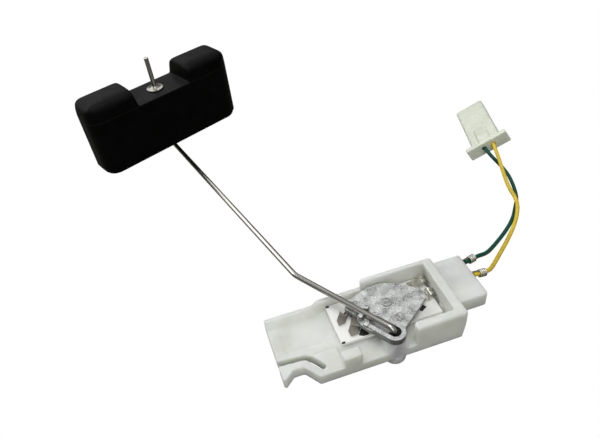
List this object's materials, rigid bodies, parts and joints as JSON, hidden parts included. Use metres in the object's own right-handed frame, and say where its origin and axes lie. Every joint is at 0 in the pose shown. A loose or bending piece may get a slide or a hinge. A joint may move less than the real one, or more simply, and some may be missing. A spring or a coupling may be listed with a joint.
{
  "type": "fuel level sender",
  "caption": "Fuel level sender: a foam float on a bent wire arm turns a cast sector over a resistor card in an open plastic tray, with two leads to a plug.",
  "frame": {"origin": "on the pivot axis of the float arm, at the back face of the housing", "axes": "+X along the housing towards the leads, +Y from its front edge to its rear rail, +Z out of the open side of the tray"},
  "size_m": [0.1978, 0.1792, 0.0584],
  "materials": {
    "housing_plastic": "moulded, milky translucent",
    "ceramic": "fired white ceramic, fine grain",
    "resistor_film": "printed black film",
    "tinned_strip": "bright tin plate",
    "solder": "smooth solder",
    "zinc_casting": "die-cast zinc, speckled",
    "nickel_silver": "rolled spring sheet",
    "contact_metal": "polished",
    "stainless_wire": "drawn stainless wire",
    "float_foam": "matt closed-cell foam",
    "spring_steel": "dark spring steel",
    "green_insulation": "extruded insulation",
    "yellow_insulation": "extruded insulation",
    "plug_plastic": "moulded, translucent"
  },
  "bodies": {
    "base": {"housing": "housing_plastic", "resistor_card": "ceramic", "resistor_track": "resistor_film", "signal_terminal": "tinned_strip", "ground_terminal": "tinned_strip", "signal_solder": "solder", "ground_solder": "solder", "lead_green": "green_insulation", "lead_yellow": "yellow_insulation", "plug_housing": "plug_plastic", "plug_pin_green": "tinned_strip", "plug_pin_yellow": "tinned_strip"},
    "arm": {"arm_holder": "zinc_casting", "contact_plate": "nickel_silver", "contact_button_outer": "contact_metal", "contact_button_inner": "contact_metal", "float_arm": "stainless_wire", "push_nut": "spring_steel"},
    "float": {"float_body": "float_foam"}
  },
  "joints": [
    {"name": "arm_swing", "type": "hinge", "parent": "base", "child": "arm", "pos_m": [0, 0, 0], "axis": [0, 0, 1], "range_deg": [-21.5, 10]},
    {"name": "float_swivel", "type": "hinge", "parent": "arm", "child": "float", "pos_m": [-0.05552, 0.15299, 0.0396], "axis": [0, 0, 1], "continuous": true}
  ]
}
